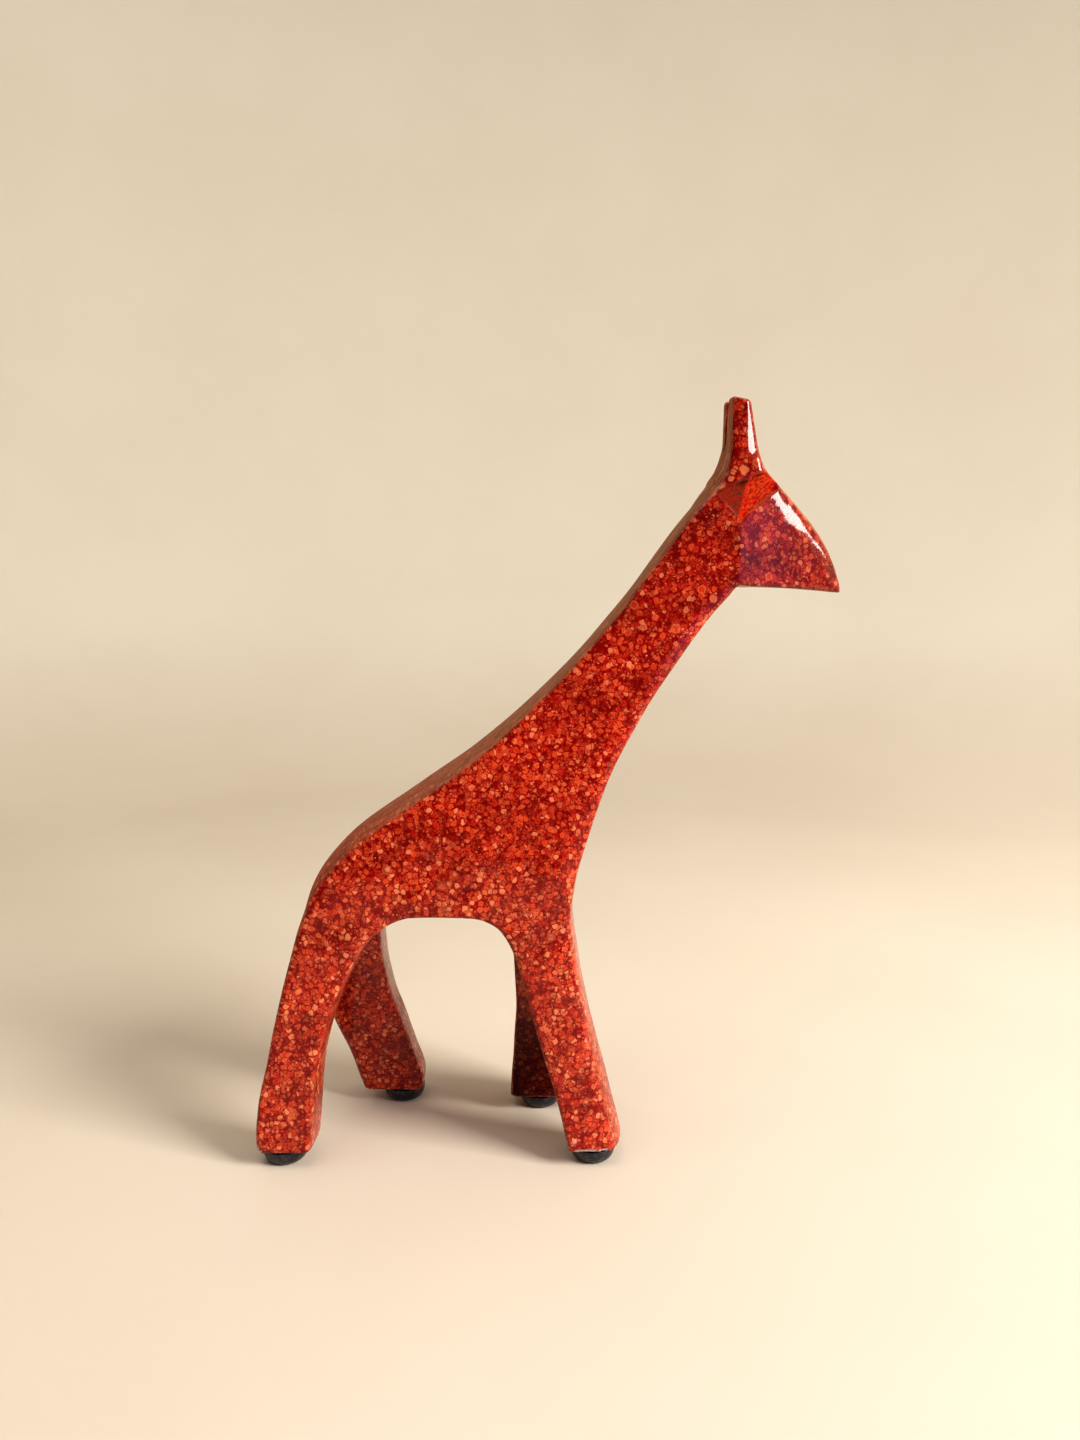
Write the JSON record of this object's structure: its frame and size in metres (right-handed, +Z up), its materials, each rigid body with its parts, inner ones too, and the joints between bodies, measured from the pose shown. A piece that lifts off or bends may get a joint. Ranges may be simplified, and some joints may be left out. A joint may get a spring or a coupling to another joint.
{
  "type": "carved giraffe statue",
  "caption": "Long-necked animal figure carved from one flat block in a walking stance, dyed and polished, standing on stick-on rubber bumper feet.",
  "frame": {"origin": "middle of the bounding box at floor level, on the bottom of the rubber feet", "axes": "+X towards the nose, +Y towards the animal's left side, +Z up"},
  "size_m": [0.245, 0.0754, 0.316],
  "materials": {
    "dyed_stone": "dyed in deep red with orange droplets, high polish under clear lacquer",
    "black_rubber": "smooth semi-gloss moulded rubber",
    "adhesive_film": "matt foam adhesive film"
  },
  "bodies": {
    "root": {"carved_body": "dyed_stone", "pad_rear_right": "adhesive_film", "pad_front_right": "adhesive_film", "pad_rear_left": "adhesive_film", "pad_front_left": "adhesive_film", "foot_rear_right": "black_rubber", "foot_front_right": "black_rubber", "foot_rear_left": "black_rubber", "foot_front_left": "black_rubber"}
  },
  "joints": []
}
